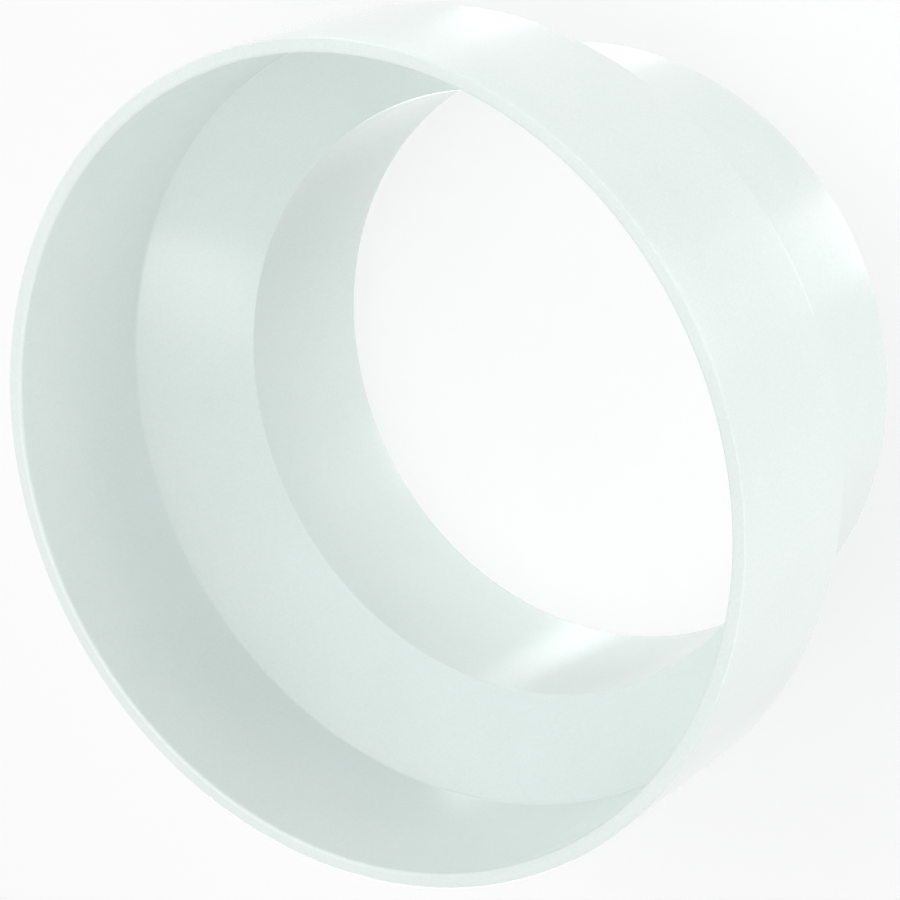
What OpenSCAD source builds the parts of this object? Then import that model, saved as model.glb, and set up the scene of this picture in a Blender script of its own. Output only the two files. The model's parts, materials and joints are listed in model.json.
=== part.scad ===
// Round duct reducer, moulded in one piece with the same wall all along.
// It stands on its narrow end, with the wide mouth up and its axis on Z.

/* [Wide collar] */
// Outer diameter of the wide collar, which slips into a 125 mm duct
wide_od = 124.5; // [112:0.5:160]
// Length of the wide collar, from its rim down to the shoulder
wide_len = 29; // [12:0.5:80]

/* [Shoulder] */
// Height of the conical shoulder between the two collars
shoulder_len = 14; // [6:0.5:60]
// Radius in the hollow of each bend, inside and outside
bend_r = 0.8; // [0.1:0.1:2]

/* [Narrow collar] */
// Outer diameter of the narrow collar, which slips into a 100 mm duct
narrow_od = 99; // [60:0.5:106]
// Length of the narrow collar, from its rim up to the shoulder
narrow_len = 28; // [12:0.5:80]

/* [Wall] */
// Thickness of the wall, square to its surface
wall = 2.2; // [1.6:0.1:3]
// Radius of the crisp edges: both outer rims and the crests of the bends
edge_r = 0.3; // [0.1:0.05:0.6]
// Radius of the softer lead-in at the inner edge of each mouth
lead_r = 0.6; // [0.1:0.05:0.9]

/* [Hidden] */
// Facets round the axis, and straight steps in each small arc of the section
$fn = 180;
arc_steps = 6;

wide_r = wide_od / 2;
narrow_r = narrow_od / 2;
// Heights of the two outer bends, and of the wide rim
neck_z = narrow_len;
brim_z = neck_z + shoulder_len;
height = brim_z + wide_len;
// Lean of the shoulder from the axis. To keep the wall even round a bend,
// its inner corner sits this much higher than its outer one.
lean = atan2(wide_r - narrow_r, shoulder_len);
bend_shift = wall * tan(lean / 2);

// Corners of the wall's section as [radius, height, rounding], up the outside
// and back down the inside
corners = [
    [narrow_r, 0, edge_r],
    [narrow_r, neck_z, bend_r],
    [wide_r, brim_z, edge_r],
    [wide_r, height, edge_r],
    [wide_r - wall, height, lead_r],
    [wide_r - wall, brim_z + bend_shift, bend_r],
    [narrow_r - wall, neck_z + bend_shift, edge_r],
    [narrow_r - wall, 0, lead_r]
];

function point(i) = let (c = corners[i % len(corners)]) [c.x, c.y];

function unit(v) = v / norm(v);

// Points of the arc that rounds corner b between its neighbours a and c,
// tangent to both straight sides
function rounded(a, b, c, r) =
    let (
        to_a = unit(a - b),
        to_c = unit(c - b),
        half = acos(to_a * to_c) / 2,
        centre = b + unit(to_a + to_c) * r / sin(half),
        first = b + to_a * r / tan(half) - centre,
        last = b + to_c * r / tan(half) - centre,
        start = atan2(first.y, first.x),
        sweep = atan2(cross(first, last), first * last)
    )
    [for (i = [0:arc_steps])
        let (turn = start + sweep * i / arc_steps)
            centre + r * [cos(turn), sin(turn)]];

// Section of the wall beside the axis
module wall_section() {
    count = len(corners);
    polygon([for (i = [0:count - 1])
        each rounded(point(i + count - 1), point(i), point(i + 1), corners[i].z)]);
}

// The whole fitting
module reducer() {
    color("whitesmoke") rotate_extrude() wall_section();
}

reducer();
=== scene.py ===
import json
import math

import bmesh
import bpy
from mathutils import Matrix, Vector


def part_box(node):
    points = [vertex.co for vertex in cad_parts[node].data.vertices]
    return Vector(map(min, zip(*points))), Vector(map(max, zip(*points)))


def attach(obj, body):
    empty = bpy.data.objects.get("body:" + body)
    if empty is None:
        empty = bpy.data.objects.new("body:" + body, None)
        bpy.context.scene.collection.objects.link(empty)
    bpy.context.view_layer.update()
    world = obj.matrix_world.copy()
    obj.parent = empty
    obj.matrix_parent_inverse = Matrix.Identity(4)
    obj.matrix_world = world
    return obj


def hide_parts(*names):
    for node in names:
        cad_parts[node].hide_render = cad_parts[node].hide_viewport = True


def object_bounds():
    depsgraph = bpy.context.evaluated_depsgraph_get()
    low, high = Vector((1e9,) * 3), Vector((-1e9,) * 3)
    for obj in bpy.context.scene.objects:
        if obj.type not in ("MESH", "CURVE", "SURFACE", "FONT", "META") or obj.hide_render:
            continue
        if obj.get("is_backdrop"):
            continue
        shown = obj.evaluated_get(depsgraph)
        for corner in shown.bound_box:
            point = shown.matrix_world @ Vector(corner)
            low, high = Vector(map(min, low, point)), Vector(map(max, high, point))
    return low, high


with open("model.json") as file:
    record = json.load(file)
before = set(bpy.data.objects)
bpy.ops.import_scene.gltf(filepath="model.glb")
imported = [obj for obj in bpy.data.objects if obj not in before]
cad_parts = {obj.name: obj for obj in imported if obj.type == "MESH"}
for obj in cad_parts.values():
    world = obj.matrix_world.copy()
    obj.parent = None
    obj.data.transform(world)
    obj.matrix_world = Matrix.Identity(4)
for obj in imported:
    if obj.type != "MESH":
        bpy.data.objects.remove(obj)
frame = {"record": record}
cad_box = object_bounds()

scene = bpy.context.scene
scene.view_settings.view_transform = "Standard"

# The reducer is one injection moulding of white plastic: a wide collar, a conical
# shoulder and a narrow collar, all with the same wall. The wall's section is turned
# about the axis, and its corners are rounded as the mould leaves them.
MM = 0.001
mounts = {mount["name"]: mount for mount in frame["record"]["mounts"]}
wide_r = mounts["wide_collar"]["dims"]["r_mm"] * MM
narrow_r = mounts["narrow_collar"]["dims"]["r_mm"] * MM
wall = wide_r - mounts["wide_bore"]["dims"]["r_mm"] * MM
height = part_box("reducer")[1].z
neck_z = 28 * MM
brim_z = 42 * MM
crest_r = 0.3 * MM
hollow_r = 0.8 * MM
mouth_r = 0.6 * MM
lean = math.atan2(wide_r - narrow_r, brim_z - neck_z)
bend_shift = wall * math.tan(lean / 2)

# Each corner of the section: radius, height, rounding and half the angle inside it
square = math.radians(45)
bend = (math.pi - lean) / 2
corners = [
    (narrow_r, 0, crest_r, square),
    (narrow_r, neck_z, hollow_r, bend),
    (wide_r, brim_z, crest_r, bend),
    (wide_r, height, crest_r, square),
    (wide_r - wall, height, mouth_r, square),
    (wide_r - wall, brim_z + bend_shift, hollow_r, bend),
    (narrow_r - wall, neck_z + bend_shift, crest_r, bend),
    (narrow_r - wall, 0, mouth_r, square),
]
STEPS_ROUND = 288
STEPS_PER_ARC = 6


def ring_edges(bm, r, z):
    def on_ring(vert):
        off_r = abs(math.hypot(vert.co.x, vert.co.y) - r)
        return off_r < 0.01 * MM and abs(vert.co.z - z) < 0.01 * MM

    return [edge for edge in bm.edges if all(on_ring(vert) for vert in edge.verts)]


bm = bmesh.new()
verts = [bm.verts.new((r, 0, z)) for r, z, rounding, half in corners]
edges = [bm.edges.new((verts[i - 1], verts[i])) for i in range(len(verts))]
bmesh.ops.spin(
    bm, geom=verts + edges, angle=math.tau, steps=STEPS_ROUND,
    axis=(0, 0, 1), cent=(0, 0, 0), use_merge=True,
)
for r, z, rounding, half in corners:
    bmesh.ops.bevel(
        bm, geom=ring_edges(bm, r, z), offset=rounding / math.tan(half),
        offset_type="OFFSET", segments=STEPS_PER_ARC, profile=0.5,
        affect="EDGES", material=-1,
    )
bmesh.ops.recalc_face_normals(bm, faces=bm.faces)
for face in bm.faces:
    face.smooth = True
mesh = bpy.data.meshes.new("duct_reducer")
bm.to_mesh(mesh)
bm.free()
moulding = bpy.data.objects.new("duct_reducer", mesh)
scene.collection.objects.link(moulding)
even = moulding.modifiers.new("even normals", "WEIGHTED_NORMAL")
even.mode = "FACE_AREA"
even.weight = 100
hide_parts("reducer")
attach(moulding, "root")


class Shade:
    """A socket that takes Python's arithmetic, which adds Math nodes to its tree."""

    def __init__(self, tree, socket=None):
        self.tree = tree
        self.socket = socket

    def node(self, kind, settings, sockets, out=0):
        node = self.tree.nodes.new("ShaderNode" + kind)
        for name, value in settings.items():
            setattr(node, name, value)
        for name, value in sockets.items():
            if isinstance(value, Shade):
                self.tree.links.new(value.socket, node.inputs[name])
            else:
                node.inputs[name].default_value = value
        return Shade(self.tree, node.outputs[out] if node.outputs else None)

    def maths(self, operation, *values):
        return self.node("Math", {"operation": operation}, dict(enumerate(values)))

    def __add__(self, other):
        return self.maths("ADD", self, other)

    def __sub__(self, other):
        return self.maths("SUBTRACT", self, other)

    def __rsub__(self, other):
        return self.maths("SUBTRACT", other, self)

    def __mul__(self, other):
        return self.maths("MULTIPLY", self, other)

    __radd__ = __add__
    __rmul__ = __mul__


plastic = bpy.data.materials.new("white_plastic")
plastic.use_nodes = True
plastic.node_tree.nodes.clear()
shade = Shade(plastic.node_tree)
place = shade.node("TexCoord", {}, {}, "Object")


def noise(scale, detail, stretch=(1, 1, 1)):
    """Noise in object coordinates; scale is in features a metre."""
    where = shade.node("Mapping", {}, {"Vector": place, "Scale": stretch})
    return shade.node(
        "TexNoise", {"noise_dimensions": "3D"},
        {"Vector": where, "Scale": scale, "Detail": detail, "Roughness": 0.55},
    )


cloud = noise(40, 3)
peel = noise(380, 2)
grain = noise(2600, 2)
drawn = noise(650, 2, stretch=(1, 1, 0.03))
z = shade.node("SeparateXYZ", {}, {"Vector": place}, "Z")


def rising(value, low, high):
    return shade.node(
        "MapRange", {"interpolation_type": "SMOOTHSTEP"},
        {"Value": value, "From Min": low, "From Max": high},
    )


near_rims = rising(z, height - 7 * MM, height) + (1 - rising(z, 0, 7 * MM))
mottle = 0.4 * rising(cloud, 0.3, 0.7) + 0.6 * rising(grain, 0.3, 0.7)
colour = shade.node(
    "Mix", {"data_type": "RGBA"},
    {0: mottle, 6: (0.8, 0.875, 0.85, 1), 7: (0.86, 0.925, 0.908, 1)}, 2,
)
roughness = 0.2 + (cloud - 0.5) * 0.08 + (drawn - 0.5) * 0.05 + near_rims * grain * 0.08
relief = peel * 0.02 * MM + grain * 0.006 * MM + drawn * 0.002 * MM
bump = shade.node("Bump", {}, {"Strength": 1, "Distance": 1, "Height": relief}, "Normal")
surface = shade.node(
    "BsdfPrincipled", {},
    {"Base Color": colour, "Roughness": roughness, "IOR": 1.5, "Normal": bump},
)
shade.node("OutputMaterial", {}, {"Surface": surface})
mesh.materials.append(plastic)

# The floor is a plain white table. Only the camera sees it, nearly plain white and with
# the reducer's shadow, so that the soft boxes below its level light the reducer too.
TABLE_GLOW = 0.6
bm = bmesh.new()
bmesh.ops.create_grid(bm, x_segments=1, y_segments=1, size=2)
mesh = bpy.data.meshes.new("floor")
bm.to_mesh(mesh)
bm.free()
floor = bpy.data.objects.new("floor", mesh)
scene.collection.objects.link(floor)
floor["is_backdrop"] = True
floor.visible_diffuse = False
floor.visible_glossy = False
floor.visible_transmission = False
floor.visible_shadow = False
table = bpy.data.materials.new("white_table")
table.use_nodes = True
table.node_tree.nodes.clear()
top = Shade(table.node_tree)
lit = top.node("BsdfDiffuse", {}, {"Color": (1, 1, 1, 1)})
glow = top.node("Emission", {}, {"Color": (1, 1, 1, 1), "Strength": 1})
face = top.node("MixShader", {}, {0: TABLE_GLOW, 1: lit, 2: glow})
top.node("OutputMaterial", {}, {"Surface": face})
mesh.materials.append(table)

# The studio is a white room. The camera sees it plain white, and so would metal and
# glass, while its own light on the reducer is softer.
ROOM_LIGHT = 0.43
world = bpy.data.worlds.new("studio")
scene.world = world
world.use_nodes = True
world.node_tree.nodes.clear()
room = Shade(world.node_tree)
camera_ray = room.node("LightPath", {}, {}, "Is Camera Ray")
glossy_ray = room.node("LightPath", {}, {}, "Is Glossy Ray")
clear_ray = room.node("LightPath", {}, {}, "Is Transmission Ray")
seen = room.maths("MAXIMUM", camera_ray, room.maths("MAXIMUM", glossy_ray, clear_ray))
level = ROOM_LIGHT + seen * (1 - ROOM_LIGHT)
air = room.node("Background", {}, {"Color": (1, 1, 1, 1), "Strength": level})
room.node("OutputWorld", {}, {"Surface": air})

# Soft boxes stand round the table. Each has its bearing and rise in degrees as seen from
# the reducer, its width and height, and its light on a card that faces it, where 1 is
# white. With the room's light, no outer face gets more than 1.05.
SOFT_BOXES = {
    "overhead": (0, 90, 0.72, 0.72, 0.38),
    "high right": (0, 52, 0.5, 0.5, 0.175),
    "left": (205, 16, 0.5, 0.4, 0.275),
    "right": (0, 4, 1.0, 0.6, 0.28),
    "front": (270, -14, 0.42, 0.42, 0.365),
    "behind": (115, -34, 0.3, 0.3, 0.48),
    "under front": (268, -68, 0.2, 0.12, 0.11),
    "low right": (6, -32, 0.14, 0.2, 0.08),
    "under right": (22, -60, 0.14, 0.14, 0.024),
}
FAR = 0.8
for name, (bearing, rise, wide, high, share) in SOFT_BOXES.items():
    lamp = bpy.data.lights.new(name, "AREA")
    lamp.shape = "RECTANGLE"
    lamp.size = wide
    lamp.size_y = high
    lamp.energy = share * (math.pi * FAR) ** 2
    box = bpy.data.objects.new(name, lamp)
    turn = Matrix.Rotation(math.radians(bearing + 90), 4, "Z")
    tilt = Matrix.Rotation(math.radians(90 - rise), 4, "X")
    middle = Matrix.Translation((0, 0, height / 2))
    box.matrix_world = middle @ turn @ tilt @ Matrix.Translation((0, 0, FAR))
    box.visible_camera = False
    scene.collection.objects.link(box)

# The camera looks down into the wide mouth, rolled as the photograph shows it. Its place
# is from the ellipses of the rims and bends, and its lens takes in the whole reducer.
eye = Vector((-0.00296, -0.28441, 0.42712))
look = Vector((0, 0.59981, -0.80014))
right = Vector((-0.45128, -0.71403, -0.53526))
up = right.cross(look)
camera_data = bpy.data.cameras.new("camera")
camera_data.sensor_width = 36
camera_data.lens = 129.25
camera = bpy.data.objects.new("camera", camera_data)
camera.matrix_world = Matrix.Translation(eye) @ Matrix((right, up, -look)).transposed().to_4x4()
scene.collection.objects.link(camera)
scene.camera = camera

box = [list(corner) for corner in cad_box], [list(corner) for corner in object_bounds()]
